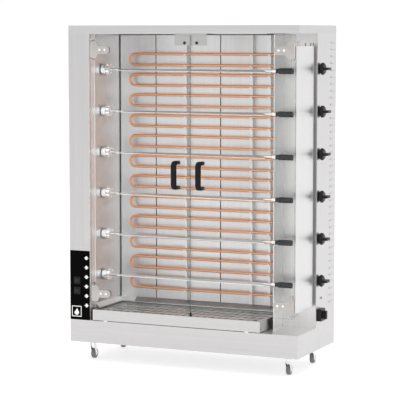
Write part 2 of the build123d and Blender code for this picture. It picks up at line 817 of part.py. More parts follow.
def tray_grille():
    """Flat plate with rows of slanted slots."""
    x0, x1 = tray_left + sheet + grille_gap, tray_right - sheet - grille_gap
    y0, y1 = sheet + grille_gap, tray_back - sheet - grille_gap
    plate = block(x0, x1, y0, y1, grille_bottom, grille_top)
    columns = int((x1 - x0 - slot_w - slot_slant) // slot_pitch_x)
    rows = int((y1 - y0 - slot_len / 2) // slot_pitch_y)
    first_x = (x0 + x1) / 2 - slot_pitch_x * (columns - 1) / 2
    first_y = (y0 + y1) / 2 - slot_pitch_y * (rows - 1) / 2
    slots = []
    for column in range(columns):
        for row in range(rows):
            x = first_x + slot_pitch_x * column
            y = first_y + slot_pitch_y * row
            near, far = y - slot_len / 2, y + slot_len / 2
            corners = [(x - slot_w / 2 - slot_slant / 2, near), (x + slot_w / 2 - slot_slant / 2, near),
                       (x + slot_w / 2 + slot_slant / 2, far), (x - slot_w / 2 + slot_slant / 2, far)]
            slots.append(prism_z(corners, grille_bottom - 1, grille_top + 1))
    return plate - slots


# ---------------------------------------------------------------- controls
def rocker_housing(z):
    """Bezel and box of a rocker switch, with bores for the rocker's pins."""
    half_w, half_h = bezel_w / 2, bezel_h / 2
    inner_w, inner_h = half_w - bezel_t - loose, half_h - bezel_t - loose
    housing = block(rocker_x - half_w, rocker_x + half_w, -panel_t - bezel_t, -panel_t,
                    z - half_h, z + half_h)
    housing += block(rocker_x - inner_w, rocker_x + inner_w, -panel_t, rocker_box_d,
                     z - inner_h, z + inner_h)
    mouth_w, mouth_h = rocker_w / 2 + rocker_gap, rocker_r + rocker_gap
    housing -= block(rocker_x - mouth_w, rocker_x + mouth_w, -panel_t - bezel_t - 1,
                     rocker_pivot_y + rocker_r + rocker_gap, z - mouth_h, z + mouth_h)
    housing -= rod_x(rocker_x - mouth_w - 1.5, rocker_x + mouth_w + 1.5, rocker_pivot_y, z,
                     rocker_pin_r + running)
    return housing


def rocker(z):
    """Rocker with two flat faces that meet in a ridge, at rest with its lower end pressed in."""
    drum = rod_x(rocker_x - rocker_w / 2, rocker_x + rocker_w / 2, rocker_pivot_y, z, rocker_r)
    pivot = Pos(rocker_x, rocker_pivot_y, z)
    for tilt in (2 * rocker_ridge, 0):
        face = Pos(0, -rocker_flat - rocker_r, 0) * Box(2 * rocker_w, 2 * rocker_r, 4 * rocker_r)
        drum -= pivot * Rot(tilt, 0, 0) * face
    reach = rocker_w / 2 + rocker_gap + 1.2
    return drum + rod_x(rocker_x - reach, rocker_x + reach, rocker_pivot_y, z, rocker_pin_r)


def thermostat(z):
    """Body behind a knob, with a blind bore for the knob's stem."""
    half = thermostat_w / 2
    back = body_w - sheet - thermostat_d
    body = block(back, body_w - sheet, knob_y - half, knob_y + half, z - half, z + half)
    return body - rod_x(body_w - stem_len - 1, body_w, knob_y, z, knob_stem_r + running)


def rotary_switch():
    """Square front plate outside the cover, neck through it and body inside."""
    half, inner = switch_w / 2, switch_body_w / 2
    plate = block(body_w, body_w + switch_t, switch_y - half, switch_y + half,
                  switch_z - half, switch_z + half)
    plate = fillet(plate.edges().filter_by(Axis.X), 4)
    plate += rod_x(body_w - sheet, body_w, switch_y, switch_z, switch_neck_r)
    plate += block(body_w - sheet - switch_body_d, body_w - sheet, switch_y - inner, switch_y + inner,
                   switch_z - inner, switch_z + inner)
    return plate - rod_x(body_w + switch_t - lever_stem_len - 1, body_w + switch_t + 1,
                         switch_y, switch_z, lever_stem_r + running)


def main_switch_knob():
    """Round base with a raised lever bar."""
    start = body_w + switch_t + lever_gap
    middle = start + lever_t * 0.4
    knob = rod_x(start, middle, switch_y, switch_z, lever_r)
    knob += block(middle, start + lever_t, switch_y - lever_bar_t / 2, switch_y + lever_bar_t / 2,
                  switch_z - lever_r, switch_z + lever_r)
    return knob + rod_x(body_w + switch_t - lever_stem_len, start, switch_y, switch_z, lever_stem_r)


def thermostat_knob(z):
    """Scalloped skirt with a bar grip, and the stem into the thermostat."""
    start = body_w + knob_gap
    skirt = rod_x(start, start + knob_skirt, knob_y, z, knob_r)
    skirt = chamfer(skirt.edges().filter_by(GeomType.CIRCLE), knob_taper)
    scallops = []
    for lobe in range(knob_lobes):
        angle = 2 * math.pi * (lobe + 0.5) / knob_lobes
        ring = knob_r + knob_scallop_r * 0.55
        scallops.append(rod_x(start - 1, start + knob_skirt + 1, knob_y + ring * math.cos(angle),
                              z + ring * math.sin(angle), knob_scallop_r))
    skirt -= scallops
    end = start + knob_skirt + knob_bar_len
    bar = block(start + knob_skirt, end, knob_y - knob_bar_w / 2, knob_y + knob_bar_w / 2,
                z - knob_bar_t / 2, z + knob_bar_t / 2)
    corners = bar.edges().filter_by(Axis.Z).group_by(Axis.X)[-1]
    bar = fillet(corners, 8)
    return skirt + bar + rod_x(body_w - stem_len, start, knob_y, z, knob_stem_r)


def pilot_lamp():
    lamp = rod_x(body_w, body_w + lamp_dome, lamp_y, lamp_z, lamp_r)
    lamp = fillet(lamp.edges().sort_by(Axis.X)[-1], lamp_dome / 2)
    return lamp + rod_x(body_w - lamp_body_len, body_w, lamp_y, lamp_z, lamp_body_r)


def cord_gland():
    """Cable gland in the rear panel, with a through hole for the mains cord."""
    gland = rod_y(body_d, body_d + gland_reach, gland_x, gland_z, gland_r)
    gland = chamfer(gland.edges().sort_by(Axis.Y)[-1], 3)
    gland += rod_y(body_d - gland_thread_len, body_d, gland_x, gland_z, gland_thread_r)
    return gland - rod_y(body_d - gland_thread_len - 1, body_d + gland_reach + 1,
                         gland_x, gland_z, gland_bore_r)


# ---------------------------------------------------------------- casters
def caster_plate(x, y):
    """Top plate with four studs through the plinth and the kingpin below."""
    low = caster_h - caster_plate_t
    plate = block(x - caster_plate_w / 2, x + caster_plate_w / 2, y - caster_plate_d / 2,
                  y + caster_plate_d / 2, low, caster_h)
    for dx in (-caster_stud_spread, caster_stud_spread):
        for dy in (-caster_stud_spread, caster_stud_spread):
            plate += rod_z(caster_h, caster_h + caster_stud_len, x + dx, y + dy, caster_stud_r)
    return plate + rod_z(low - kingpin_len, low, x, y, kingpin_r)


def caster_fork(x, y):
    """Swivel head, two legs that trail backwards and the axle between them."""
    top = caster_h - caster_plate_t - fork_play
    crown = rod_z(top - fork_crown_t, top, x, y, fork_crown_r)
    axle_y = y + caster_trail
    fork = crown
    for side in (-1, 1):
        x0 = x + side * fork_half
        x1 = x0 + side * fork_leg_t
        low, high = min(x0, x1), max(x0, x1)
        foot = wheel_r - 2.5 * axle_r
        outline = [(y - fork_crown_r * 0.6, top), (y + fork_crown_r * 0.6, top),
                   (axle_y + 2 * axle_r, wheel_r + axle_r), (axle_y + 2 * axle_r, foot),
                   (axle_y - 2 * axle_r, foot)]
        fork += prism_x(outline, low, high)
    reach = fork_half + fork_leg_t + 3
    fork += rod_x(x - reach, x + reach, axle_y, wheel_r, axle_r)
    return fork - rod_z(top - fork_crown_t - 1, top + 1, x, y, kingpin_r + running)


def caster_wheel(x, y):
    wheel = rod_x(x - wheel_half, x + wheel_half, y + caster_trail, wheel_r, wheel_r)
    wheel = fillet(wheel.edges(), wheel_tyre_round)
    return wheel - rod_x(x - wheel_half - 1, x + wheel_half + 1, y + caster_trail, wheel_r, axle_r + running)


# ---------------------------------------------------------------- nodes
save("base_plinth", base_plinth())
save("left_column", left_column())
save("control_panel", control_panel())
save("header", header())
save("rear_panel", rear_panel())
save("cabinet_screws", *cabinet_screws())
save("back_liner", *back_liner())
save("cavity_liner", *cavity_liner())
save("right_wall", right_wall())
save("side_cover", side_cover())
save("side_guard", side_guard())
save("heating_elements", *[heating_element(z) for z in element_zs])
save("element_supports", *[element_rail(x) for x in rail_xs()])
save("drip_deflectors", *drip_deflectors())
save("spindle_bearings", *spindle_bearings())
save("drive_chain", drive_chain())
save("drive_motor", drive_motor())
save("hinge_brackets", *[piece for z in hinge_zs for piece in (hinge_bracket(z), mirrored(hinge_bracket(z)))])
save("door_catch", *door_catch())
save("control_bodies", *[thermostat(z) for z in knob_zs], rotary_switch(),
     *[rocker_housing(z) for z in rocker_zs])
save("pilot_lamp", pilot_lamp())
save("cord_gland", cord_gland())
save("caster_plates", *[caster_plate(x, y) for x, y in swivels])

for number, z in enumerate(spit_zs, 1):
    last = number == spit_count
    shaft_start = sheet + gearbox_t - gearbox_shaft + 1 if last else spindle_start
    save(f"drive_spindle_{number}", drive_spindle(z, shaft_start))
    save(f"spit_{number}", *spit(z))
for number, z in enumerate(knob_zs, 1):
    save(f"thermostat_knob_{number}", thermostat_knob(z))
save("main_switch_knob", main_switch_knob())
for number, z in enumerate(rocker_zs, 1):
    save(f"rocker_{number}", rocker(z))

save("left_door_glass", door_glass())
save("right_door_glass", mirrored(door_glass()))
save("left_door_patches", *hinge_patches())
save("right_door_patches", *[mirrored(piece) for piece in hinge_patches()])
save("left_door_grip", door_grip())
save("right_door_grip", mirrored(door_grip()))
save("drip_tray", drip_tray())
save("tray_grille", tray_grille())

for number, (x, y) in enumerate(swivels, 1):
    save(f"caster_fork_{number}", caster_fork(x, y))
    save(f"caster_wheel_{number}", caster_wheel(x, y))
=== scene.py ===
import json
import math
import bmesh
import bpy
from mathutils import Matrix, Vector


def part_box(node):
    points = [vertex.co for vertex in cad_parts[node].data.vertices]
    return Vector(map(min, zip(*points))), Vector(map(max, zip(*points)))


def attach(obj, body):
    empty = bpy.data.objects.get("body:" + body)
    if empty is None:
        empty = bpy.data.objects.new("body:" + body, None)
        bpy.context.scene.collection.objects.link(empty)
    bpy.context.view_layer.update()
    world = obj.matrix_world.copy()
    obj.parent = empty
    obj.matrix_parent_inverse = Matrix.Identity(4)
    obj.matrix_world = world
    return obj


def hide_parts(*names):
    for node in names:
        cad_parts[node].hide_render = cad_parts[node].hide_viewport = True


# Rotisserie oven: a stainless cabinet on casters with six spits in front of twelve
# heating elements, two glass doors and a drip tray. Metres, X right, Y back, Z up.
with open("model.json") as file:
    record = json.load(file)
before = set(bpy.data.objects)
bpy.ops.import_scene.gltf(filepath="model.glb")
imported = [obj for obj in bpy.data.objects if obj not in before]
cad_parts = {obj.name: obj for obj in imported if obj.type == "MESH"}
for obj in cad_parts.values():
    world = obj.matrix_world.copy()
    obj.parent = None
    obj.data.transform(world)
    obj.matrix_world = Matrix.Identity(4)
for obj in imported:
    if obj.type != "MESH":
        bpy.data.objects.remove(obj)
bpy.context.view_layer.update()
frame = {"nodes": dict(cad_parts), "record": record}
scene = bpy.context.scene


# ------------------------------------------------------------------ studio
# A plain pale floor under a white sky, and three large soft lamps. The camera stands
# to the right of the front at eye height and looks slightly down.
def studio_floor(reach):
    mesh = bpy.data.meshes.new("studio_floor")
    mesh.from_pydata([(-reach, -reach, 0), (reach, -reach, 0), (reach, reach, 0), (-reach, reach, 0)],
                     [], [(0, 1, 2, 3)])
    floor = bpy.data.objects.new("studio_floor", mesh)
    scene.collection.objects.link(floor)
    paint = bpy.data.materials.new("floor_paint")
    paint.use_nodes = True
    shader = paint.node_tree.nodes["Principled BSDF"]
    shader.inputs["Base Color"].default_value = (0.60, 0.60, 0.60, 1)
    shader.inputs["Roughness"].default_value = 0.8
    shader.inputs["Emission Color"].default_value = (1, 1, 1, 1)
    shader.inputs["Emission Strength"].default_value = 0.56
    mesh.materials.append(paint)
    return floor


studio_floor(30.0)


def soft_lamp(name, place, target, size, watts):
    """Square softbox at a place, turned to a target."""
    lamp = bpy.data.lights.new(name, "AREA")
    lamp.shape = "RECTANGLE"
    lamp.size, lamp.size_y = size
    lamp.energy = watts
    holder = bpy.data.objects.new(name, lamp)
    holder.location = place
    holder.rotation_euler = (Vector(target) - Vector(place)).to_track_quat("-Z", "Y").to_euler()
    scene.collection.objects.link(holder)


soft_lamp("overhead_softbox", (0.4, -1.2, 4.4), (0.1, 0.0, 0.6), (4.0, 3.0), 14)
soft_lamp("front_softbox", (1.8, -5.0, 2.6), (0.0, 0.0, 0.8), (2.6, 2.6), 12)

# A sheet of light just behind the doors opens up the cavity and the handle bay. It
# reaches a little below the glass, to the tray.
door_low, door_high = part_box("left_door_glass")[0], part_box("right_door_glass")[1]
light_x = (door_low.x + door_high.x) / 2
light_z = (door_low.z + door_high.z) / 2 - 0.03
soft_lamp("cavity_light", (light_x, door_high.y + 0.02, light_z), (light_x, 1.0, light_z),
          (door_high.x - door_low.x - 0.02, door_high.z - door_low.z + 0.06), 1.35)

world = bpy.data.worlds.new("white_sky")
world.use_nodes = True
scene.world = world
sky = world.node_tree.nodes["Background"]
sky.inputs["Color"].default_value = (1.0, 1.0, 1.0, 1)
direction = world.node_tree.nodes.new("ShaderNodeTexCoord")
sideways = world.node_tree.nodes.new("ShaderNodeSeparateXYZ")
swell = world.node_tree.nodes.new("ShaderNodeMapRange")
swell.inputs["From Min"].default_value, swell.inputs["From Max"].default_value = -0.5, 0.9
swell.inputs["To Min"].default_value, swell.inputs["To Max"].default_value = 1.02, 1.24
world.node_tree.links.new(direction.outputs["Generated"], sideways.inputs[0])
world.node_tree.links.new(sideways.outputs["X"], swell.inputs["Value"])
world.node_tree.links.new(swell.outputs["Result"], sky.inputs["Strength"])
scene.view_settings.view_transform = "Standard"

camera = bpy.data.cameras.new("camera")
camera.sensor_width = 36.0
camera.lens = 153.42
camera_holder = bpy.data.objects.new("camera", camera)
camera_holder.location = (3.4160, -7.6494, 1.6261)
camera_holder.rotation_euler = (math.radians(84.434), 0.0, math.radians(24.219))
scene.collection.objects.link(camera_holder)
scene.camera = camera_holder


# ------------------------------------------------------------------ plinth
# The base is one folded box of 1.5 mm stainless sheet with a ground finish, closed at
# the corners by welds, with the tray's two runners on top.
class Wire:
    """One socket's value. Sums written on it add Math nodes."""

    def __init__(self, net, socket):
        self.net, self.socket = net, socket

    def maths(self, operation, *values):
        return self.net.node("ShaderNodeMath", {"operation": operation}, dict(enumerate(values)))

    def __add__(self, other):
        return self.maths("ADD", self, other)

    __radd__ = __add__

    def __sub__(self, other):
        return self.maths("SUBTRACT", self, other)

    def __rsub__(self, other):
        return self.maths("SUBTRACT", other, self)

    def __mul__(self, other):
        return self.maths("MULTIPLY", self, other)

    __rmul__ = __mul__

    def __truediv__(self, other):
        return self.maths("DIVIDE", self, other)

    def __abs__(self):
        return self.maths("ABSOLUTE", self)

    def __gt__(self, other):
        return self.maths("GREATER_THAN", self, other)

    def __lt__(self, other):
        return self.maths("LESS_THAN", self, other)


class Net:
    """A node tree. node() adds a node: its type, its settings, then its sockets."""

    def __init__(self, tree):
        self.tree = tree

    def node(self, kind, settings=None, sockets=None, out=0):
        made = self.tree.nodes.new(kind)
        for name, value in (settings or {}).items():
            if name == "stops":
                ramp = made.color_ramp
                while len(ramp.elements) < len(value):
                    ramp.elements.new(0.5)
                for element, (place, colour) in zip(ramp.elements, value):
                    element.position, element.color = place, (*colour, 1)
            else:
                setattr(made, name, value)
        for key, value in (sockets or {}).items():
            if isinstance(value, Wire):
                self.tree.links.new(value.socket, made.inputs[key])
            elif value is not None:
                made.inputs[key].default_value = value
        return Wire(self, made.outputs[out])


class Finish(Net):
    """A surface finish: a Principled shader whose changing inputs are set by lay()."""

    def __init__(self, name, **constants):
        self.material = bpy.data.materials.new(name)
        self.material.use_nodes = True
        super().__init__(self.material.node_tree)
        self.shader = self.tree.nodes["Principled BSDF"]
        for key, value in constants.items():
            self.shader.inputs[key.replace("_", " ").title().replace("Ior", "IOR")].default_value = value
        self.place = self.node("ShaderNodeTexCoord", out=3)

    def axis(self, number):
        return self.node("ShaderNodeSeparateXYZ", None, {0: self.place}, out=number)

    def stretched(self, scale, shift=(0, 0, 0)):
        return self.node("ShaderNodeMapping", None, {
            "Vector": self.place, "Scale": scale, "Location": shift})

    def noise(self, scale, detail=2.0, rough=0.5, shift=(0, 0, 0)):
        return self.node("ShaderNodeTexNoise", None, {
            "Vector": self.stretched(scale, shift), "Scale": 1.0, "Detail": detail, "Roughness": rough})

    def mix(self, share, first, second):
        def colour(value):
            return (*value, 1) if isinstance(value, tuple) and len(value) == 3 else value
        return self.node("ShaderNodeMix", {"data_type": "RGBA"},
                         {0: share, 6: colour(first), 7: colour(second)}, out=2)

    def remap(self, value, low, high, to_low=0.0, to_high=1.0):
        return self.node("ShaderNodeMapRange", {"interpolation_type": "SMOOTHSTEP"}, {
            0: value, 1: low, 2: high, 3: to_low, 4: to_high})

    def bump(self, height, depth, strength=1.0, under=None):
        return self.node("ShaderNodeBump", None, {
            "Height": height, "Distance": depth, "Strength": strength, "Normal": under})

    def lay(self, **inputs):
        for key, value in inputs.items():
            self.tree.links.new(value.socket, self.shader.inputs[key.replace("_", " ").title()])
        return self

    def colour(self):
        """The colour laid so far, to mix something over it."""
        return Wire(self, self.shader.inputs["Base Color"].links[0].from_socket)


def ground_steel(name, grain, tone, rough=0.34, shine=0.05):
    """Stainless sheet ground along one axis: fine and coarse streaks, faint handling marks."""
    steel = Finish(name, metallic=1.0)
    fine = [520.0, 520.0, 520.0]
    wide = [70.0, 70.0, 70.0]
    for scale, along in ((fine, 6.0), (wide, 1.2)):
        scale["XYZ".index(grain)] = along
    streaks = steel.noise(tuple(fine), detail=3.0, rough=0.6)
    bands = steel.noise(tuple(wide), detail=2.0, rough=0.5, shift=(3.1, 1.7, 0.4))
    smudge = steel.noise((5.0, 5.0, 4.0), detail=4.0, rough=0.62, shift=(0.2, 5.0, 2.0))
    marks = steel.remap(smudge, 0.52, 0.74)
    grain_mix = streaks * 0.6 + bands * 0.4
    dark = tuple(c * (1 - shine) for c in tone)
    light = tuple(min(1.0, c * (1 + shine)) for c in tone)
    ground = steel.mix(steel.remap(grain_mix, 0.3, 0.7), dark, light)
    handled = steel.mix(marks * 0.25, ground, tuple(c * 0.93 for c in tone))
    return steel.lay(
        base_color=handled,
        roughness=streaks * 0.12 + bands * 0.08 + marks * 0.05 + (rough - 0.1),
        normal=steel.bump(streaks, 0.00004, 0.35))


def dress(finish, *nodes):
    """Puts a finish on CAD nodes."""
    for node in nodes:
        solid = frame["nodes"][node]
        if not solid.material_slots:
            solid.data.materials.append(finish.material)
        for slot in solid.material_slots:
            slot.material = finish.material


bodies = frame["record"]["behaviour"]["bodies"]
body_of = {node: body for body, nodes in bodies.items() for node in nodes}
sharp_turn = math.radians(34)


def add_piece(name, mesh, finish, body):
    """A new mesh piece in its place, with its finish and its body."""
    piece = bpy.data.objects.new(name, mesh)
    scene.collection.objects.link(piece)
    if not mesh.materials:
        mesh.materials.append(finish.material)
    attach(piece, body)
    return piece


def eased(node, finish, width, name):
    """Stands for a CAD solid with its sharp corners eased to a small round."""
    shell = bmesh.new()
    shell.from_mesh(frame["nodes"][node].data)
    bmesh.ops.remove_doubles(shell, verts=shell.verts, dist=0.00001)
    bmesh.ops.dissolve_limit(shell, angle_limit=math.radians(1.0), verts=shell.verts, edges=shell.edges)
    corners = [edge for edge in shell.edges
               if len(edge.link_faces) == 2 and edge.calc_face_angle(0) > math.radians(32)]
    bmesh.ops.bevel(shell, geom=corners, offset=width, segments=2, profile=0.5, affect="EDGES",
                    clamp_overlap=True)
    mesh = bpy.data.meshes.new(name)
    shell.to_mesh(mesh)
    shell.free()
    mesh.materials.clear()
    mesh.shade_smooth()
    mesh.set_sharp_from_angle(angle=sharp_turn)
    piece = add_piece(name, mesh, finish, body_of[node])
    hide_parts(node)
    return piece


casing_tone = (0.575, 0.566, 0.566)
plinth_steel = ground_steel("plinth_steel", "X", casing_tone)
# Painted light: the plinth's top, above plinth_face, is painted near-white, lighter than its front.
plinth_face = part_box("left_column")[0].z - 0.0002
front_colour = plinth_steel.colour()
plinth_steel.lay(base_color=plinth_steel.mix(
    plinth_steel.axis(2) > plinth_face, front_colour, (0.97, 0.965, 0.96)))
dress(plinth_steel, "base_plinth")


# ------------------------------------------------------------------ casters
# Bright-plated swivel casters, bolted under the plinth, with dark rubber tyres.
def plated(name, tone, rough=0.16, mottle=0.05):
    """Chrome or zinc plate with a faint mottle."""
    plate = Finish(name, metallic=1.0)
    cloud = plate.noise((60.0, 60.0, 60.0), detail=4.0, rough=0.6)
    pits = plate.noise((700.0, 700.0, 700.0), detail=2.0)
    return plate.lay(
        base_color=plate.mix(cloud, tuple(c * (1 - mottle * 2) for c in tone), tone),
        roughness=cloud * mottle + pits * 0.04 + rough,
        normal=plate.bump(pits, 0.00002, 0.2))


fork_chrome = plated("fork_chrome", (0.90, 0.90, 0.90), rough=0.1)
zinc = plated("zinc_plate", (0.62, 0.63, 0.65), rough=0.3, mottle=0.1)
dress(zinc, "caster_plates", "cabinet_screws")


def moulded(name, tone, rough=0.45, texture=900.0, depth=0.00005, specular=0.5):
    """Moulded rubber or plastic with a fine spark-eroded skin and rubbed patches."""
    skin = Finish(name, specular_ior_level=specular)
    grit = skin.noise((texture, texture, texture), detail=2.0, rough=0.7)
    rubbed = skin.noise((38.0, 38.0, 38.0), detail=3.0, rough=0.6, shift=(1.0, 2.0, 3.0))
    return skin.lay(
        base_color=skin.mix(rubbed, tuple(c * 0.8 for c in tone), tuple(c * 1.25 for c in tone)),
        roughness=grit * 0.12 + rubbed * 0.14 + (rough - 0.13),
        normal=skin.bump(grit, depth, 0.4))


tyre_rubber = moulded("tyre_rubber", (0.16, 0.16, 0.165), rough=0.6, specular=0.3)
hub_nylon = moulded("hub_nylon", (0.30, 0.30, 0.31), rough=0.45)


def turned(name, profile, centre, axis, steps=32):
    """A solid of revolution: (along, radius) pairs turned about an axis through its centre."""
    along = Vector(axis).normalized()
    side = along.orthogonal().normalized()
    other = along.cross(side)
    points, faces = [], []
    for offset, radius in profile:
        for step in range(steps):
            turn = 2 * math.pi * step / steps
            points.append(Vector(centre) + along * offset
                          + (side * math.cos(turn) + other * math.sin(turn)) * radius)
    for ring in range(len(profile) - 1):
        for step in range(steps):
            a, b = ring * steps + step, ring * steps + (step + 1) % steps
            faces.append((a, b, b + steps, a + steps))
    faces.append(tuple(reversed(range(steps))))
    faces.append(tuple(range(len(points) - steps, len(points))))
    mesh = bpy.data.meshes.new(name)
    mesh.from_pydata(points, [], faces)
    shell = bmesh.new()
    shell.from_mesh(mesh)
    bmesh.ops.recalc_face_normals(shell, faces=shell.faces)
    shell.to_mesh(mesh)
    shell.free()
    mesh.shade_smooth()
    mesh.set_sharp_from_angle(angle=sharp_turn)
    return mesh


# Each hub's raised rim, web and boss: height in metres, radius as a share of the wheel's.
hub_profile = [(0.0, 0.62), (0.0005, 0.62), (0.0009, 0.56), (0.0002, 0.45), (0.0002, 0.3),
               (0.0009, 0.24), (0.0009, 0.165)]
for number in range(1, 5):
    eased(f"caster_fork_{number}", fork_chrome, 0.0006, f"chrome_fork_{number}")
    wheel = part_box(f"caster_wheel_{number}")
    middle = (wheel[0] + wheel[1]) / 2
    radius, half = (wheel[1].z - wheel[0].z) / 2, (wheel[1].x - wheel[0].x) / 2
    eased(f"caster_wheel_{number}", tyre_rubber, 0.0003, f"tyre_{number}")
    for side in (-1, 1):
        disc = turned(f"hub_disc_{number}",
                      [(raised, radius * share) for raised, share in hub_profile],
                      middle + Vector((side * half, 0, 0)), (side, 0, 0), 28)
        add_piece(f"hub_disc_{number}_{'left' if side < 0 else 'right'}", disc, hub_nylon,
                  f"wheel_{number}")


# ------------------------------------------------------------------ left column
# The column is folded sheet and holds the drive. A black enamelled switch panel is
# riveted over its lower front.
column_steel = ground_steel("column_steel", "Z", tuple(c * 0.94 for c in casing_tone))
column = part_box("left_column")
# Painted light: the column's inner return is painted near-white, lighter than the rest of its steel.
painted_light_return = column_steel.axis(0) > column[1].x - 0.0004
column_colour = column_steel.colour()
column_steel.lay(base_color=column_steel.mix(painted_light_return, column_colour, (0.93, 0.92, 0.92)))
dress(column_steel, "left_column")
enamel = moulded("panel_enamel", (0.002, 0.002, 0.0022), rough=0.42, texture=350.0, specular=0.02)
dress(enamel, "control_panel")
rocker_plastic = moulded("rocker_plastic", (0.016, 0.016, 0.017), rough=0.4, specular=0.2)
for number in (1, 2):
    eased(f"rocker_{number}", rocker_plastic, 0.0006, f"rocker_cap_{number}")


def printed(name, outlines, face, thickness=0.00012):
    """Flat screen-printed marks on a face that looks forwards: (x, z) outlines."""
    shell = bmesh.new()
    for outline in outlines:
        front = [shell.verts.new((x, face - thickness, z)) for x, z in outline]
        back = [shell.verts.new((x, face, z)) for x, z in outline]
        count = len(outline)
        shell.faces.new(front)
        shell.faces.new(list(reversed(back)))
        for step in range(count):
            after = (step + 1) % count
            shell.faces.new((front[after], front[step], back[step], back[after]))
    bmesh.ops.recalc_face_normals(shell, faces=shell.faces)
    mesh = bpy.data.meshes.new(name)
    shell.to_mesh(mesh)
    shell.free()
    return mesh


def oval(x, z, half_x, half_z, steps=20):
    turns = [2 * math.pi * n / steps for n in range(steps)]
    return [(x + half_x * math.cos(turn), z + half_z * math.sin(turn)) for turn in turns]


def strip(x0, x1, z0, z1):
    return [(x0, z0), (x1, z0), (x1, z1), (x0, z1)]


# A plain picture of a roast on its spit, once for each spit, and a flame in a frame.
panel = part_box("control_panel")
face = panel[0].y
marks = []
column_x = panel[1].x - 0.018
for number in range(6):
    level = panel[1].z - 0.036 - 0.0475 * number
    marks.append(strip(column_x - 0.0125, column_x - 0.007, level - 0.0013, level + 0.0013))
    marks.append(strip(column_x + 0.007, column_x + 0.0125, level - 0.0013, level + 0.0013))
    marks.append(oval(column_x, level, 0.0072, 0.0095))
frame_x, frame_z, frame_half = panel[0].x + 0.035, panel[0].z + 0.042, 0.027
for x0, x1, z0, z1 in ((-1, 1, 0.86, 1), (-1, 1, -1, -0.86),
                       (-1, -0.86, -0.86, 0.86), (0.86, 1, -0.86, 0.86)):
    marks.append(strip(frame_x + frame_half * x0, frame_x + frame_half * x1,
                       frame_z + frame_half * z0, frame_z + frame_half * z1))
flame = []
for n in range(28):
    turn = 2 * math.pi * n / 28
    lift = max(0.0, math.sin(turn))
    flame.append((frame_x + 0.013 * math.cos(turn) * (1 - 0.85 * lift ** 2) + 0.002 * lift,
                  frame_z - 0.006 + 0.0125 * math.sin(turn) + 0.010 * lift ** 3))
marks.append(flame)
print_white = moulded("print_white", (0.80, 0.80, 0.79), rough=0.5)
add_piece("panel_marks", printed("panel_marks", marks, face), print_white, "cabinet")


# ------------------------------------------------------------------ drive
# Six shafts turn in flange bearings on the liner, linked by one roller chain from a
# gear motor. Each shaft ends in a castellated chrome socket for a spit.
socket_chrome = plated("socket_chrome", (0.92, 0.92, 0.92), rough=0.05)
for number in range(1, 7):
    eased(f"drive_spindle_{number}", socket_chrome, 0.0008, f"chrome_socket_{number}")
dress(plated("bearing_iron", (0.30, 0.30, 0.31), rough=0.42, mottle=0.14), "spindle_bearings")
dress(plated("chain_steel", (0.22, 0.215, 0.21), rough=0.36, mottle=0.12), "drive_chain")
dress(moulded("motor_paint", (0.16, 0.17, 0.18), rough=0.4), "drive_motor")


# ------------------------------------------------------------------ cavity
# Satin stainless liners: folded panels behind the elements, a ceiling with the left
# side, and the right wall with its open notches for the spits.
def shaded_behind(steel, axis, limit, tone=(0.018, 0.017, 0.017)):
    """Paints the steel past a limit a near-black tone: painted shade inside the seams and behind the
    panels, and the dark tabs on the guard's top.
    """
    unshaded_colour = steel.colour()
    return steel.lay(base_color=steel.mix(steel.axis(axis) > limit, unshaded_colour, tone))


liner_tone = (0.62, 0.61, 0.618)
back_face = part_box("back_liner")[0].y
back_steel = ground_steel("back_liner_steel", "Z", liner_tone, rough=0.38)
# Painted shade: the back liner's faces behind its front face, in its seams, are painted near-black.
dress(shaded_behind(back_steel, 1, back_face + 0.0004), "back_liner")
dress(ground_steel("side_liner_steel", "Z", (0.76, 0.75, 0.75), rough=0.36), "cavity_liner")
# Painted light: the bay wall is given a near-white tone, far lighter than the casing steel.
dress(ground_steel("bay_steel", "Z", (0.97, 0.965, 0.96), rough=0.44), "right_wall")
# Painted light and shade: the left deflector plate is given a near-white tone, and the steel past
# left_plate is painted dark with a noise mottle.
deflector_steel = ground_steel("deflector_steel", "X", (0.96, 0.955, 0.95), rough=0.46)
left_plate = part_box("drip_deflectors")[0].x + 0.09
painted_shade_mottle = deflector_steel.noise((22.0, 22.0, 60.0), detail=4.0, rough=0.6)
unshaded_colour = deflector_steel.colour()
deflector_steel.lay(base_color=deflector_steel.mix(
    deflector_steel.axis(0) > left_plate, unshaded_colour,
    deflector_steel.mix(painted_shade_mottle, (0.24, 0.24, 0.245), (0.44, 0.44, 0.45))))
dress(deflector_steel, "drip_deflectors")


# ------------------------------------------------------------------ elements
# Twelve sheathed hairpin elements, heat-tinted to a copper colour in use, carried by
# punched rails on the back liner.
sheath = Finish("element_sheath", metallic=1.0)
tint = sheath.noise((14.0, 14.0, 60.0), detail=4.0, rough=0.6)
scale_marks = sheath.noise((300.0, 300.0, 300.0), detail=2.0)
along = sheath.axis(0)
cold_end = sheath.remap(along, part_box("right_wall")[0].x - 0.02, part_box("right_wall")[0].x + 0.004)
copper = sheath.mix(tint, (0.74, 0.27, 0.10), (0.90, 0.42, 0.19))
sheath.lay(
    base_color=sheath.mix(cold_end, copper, (0.45, 0.44, 0.43)),
    roughness=tint * 0.2 + scale_marks * 0.1 + 0.25,
    normal=sheath.bump(scale_marks, 0.00004, 0.4))
dress(sheath, "heating_elements")
dress(ground_steel("rail_steel", "Z", (0.62, 0.61, 0.61), rough=0.4), "element_supports")


